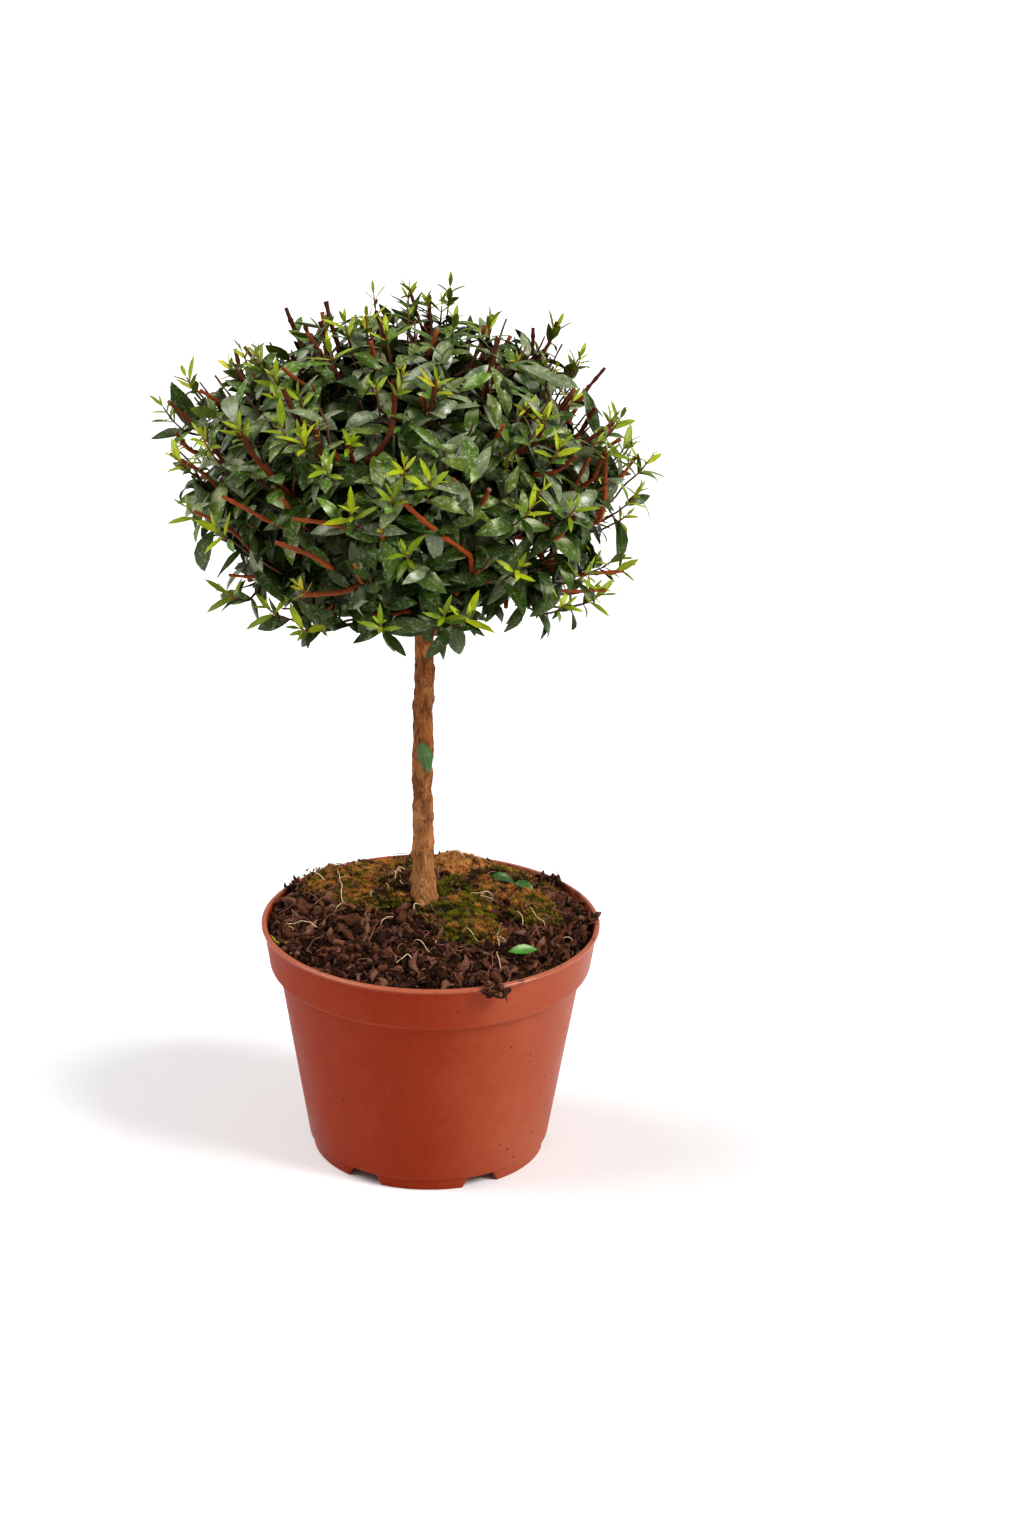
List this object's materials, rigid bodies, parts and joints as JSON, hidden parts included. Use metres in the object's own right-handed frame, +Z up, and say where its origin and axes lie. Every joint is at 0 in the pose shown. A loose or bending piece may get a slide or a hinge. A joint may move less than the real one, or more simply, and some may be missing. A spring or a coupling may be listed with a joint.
{
  "type": "potted myrtle lollipop topiary",
  "caption": "Small-leaved evergreen trained as a standard: a dense flattened ball of glossy leaves on a bare straight stem, planted in a tapered plastic nursery pot.",
  "frame": {"origin": "centre of the pot's flat underside, on the surface it stands on", "axes": "+Z up along the stem, +X to the right and -Y towards the viewer in the reference view"},
  "size_m": [0.1655, 0.16, 0.3],
  "materials": {
    "pot": "thin terracotta-coloured plastic, semi-matt, faint turning rings and dust",
    "soil": "coarse damp bark and peat",
    "moss": "soft low moss, olive to golden brown",
    "bark": "tan bark with flakes, small bumps and fine cracks",
    "twig": "smooth red-brown twig bark",
    "foliage": "small glossy dark green leaves with yellow-green young shoots"
  },
  "bodies": {
    "root": {"pot": "pot", "soil": "soil", "moss_left": "moss", "moss_front": "moss", "moss_right": "moss", "moss_back": "moss", "trunk": "bark", "bough_01": "twig", "bough_02": "twig", "bough_03": "twig", "bough_04": "twig", "bough_05": "twig", "bough_06": "twig", "bough_07": "twig", "bough_08": "twig", "bough_09": "twig", "bough_10": "twig", "bough_11": "twig", "bough_12": "twig", "bough_13": "twig", "foliage_01": "foliage", "foliage_02": "foliage", "foliage_03": "foliage", "foliage_04": "foliage", "foliage_05": "foliage", "foliage_06": "foliage", "foliage_07": "foliage", "foliage_08": "foliage", "foliage_09": "foliage", "foliage_10": "foliage", "foliage_11": "foliage", "foliage_12": "foliage", "foliage_13": "foliage"}
  },
  "joints": []
}
